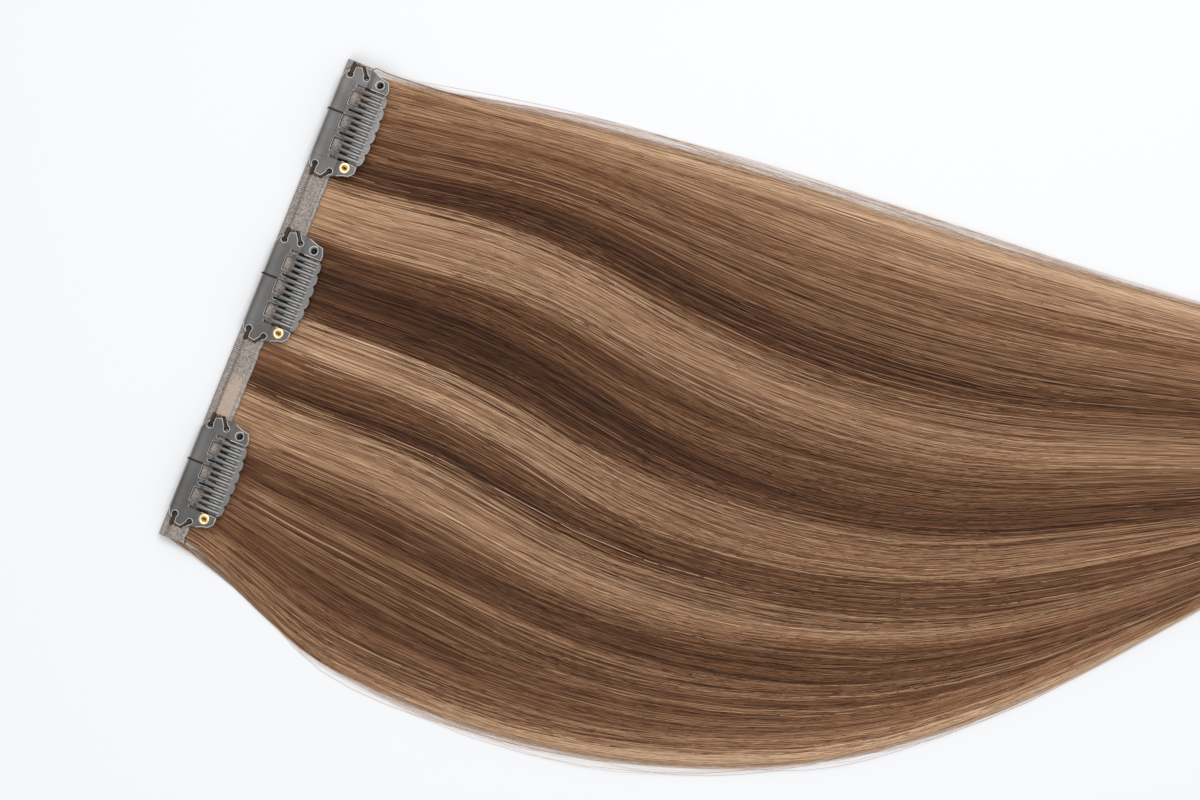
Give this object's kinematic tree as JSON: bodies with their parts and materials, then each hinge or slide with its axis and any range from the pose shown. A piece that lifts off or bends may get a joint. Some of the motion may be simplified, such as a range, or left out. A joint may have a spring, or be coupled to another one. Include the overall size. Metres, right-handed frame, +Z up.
{
  "type": "clip in hair extension",
  "caption": "Flat fall of highlighted straight hair, held in a folded fabric weft band with hinged metal snap combs sewn along it, lying on a surface.",
  "frame": {"origin": "on the surface under the middle of the outer box", "axes": "+X from the weft band towards the tips of the hair, +Y along the band, +Z up"},
  "size_m": [0.354, 0.193, 0.0073],
  "materials": {
    "band_cloth": "matt woven taupe tape",
    "hair": "satin strands, dark brown with blonde streaks",
    "clip_steel": "satin dark grey coating",
    "rivet_brass": "polished",
    "thread": "dark brown sewing thread"
  },
  "bodies": {
    "extension": {"weft_band": "band_cloth", "hair": "hair", "clip_1_plate": "clip_steel", "clip_1_rivet": "rivet_brass", "clip_2_plate": "clip_steel", "clip_2_rivet": "rivet_brass", "clip_3_plate": "clip_steel", "clip_3_rivet": "rivet_brass"},
    "comb_1": {"clip_1_comb": "clip_steel"},
    "comb_2": {"clip_2_comb": "clip_steel"},
    "comb_3": {"clip_3_comb": "clip_steel"}
  },
  "joints": [
    {"name": "clip_1_snap", "type": "hinge", "parent": "extension", "child": "comb_1", "pos_m": [-0.16549, 0.04685, 0.0045], "axis": [0, 1, 0], "range_deg": [0, 35]},
    {"name": "clip_2_snap", "type": "hinge", "parent": "extension", "child": "comb_2", "pos_m": [-0.16549, -0.0026, 0.0045], "axis": [0, 1, 0], "range_deg": [0, 35]},
    {"name": "clip_3_snap", "type": "hinge", "parent": "extension", "child": "comb_3", "pos_m": [-0.16549, -0.05815, 0.0045], "axis": [0, 1, 0], "range_deg": [0, 35]}
  ]
}
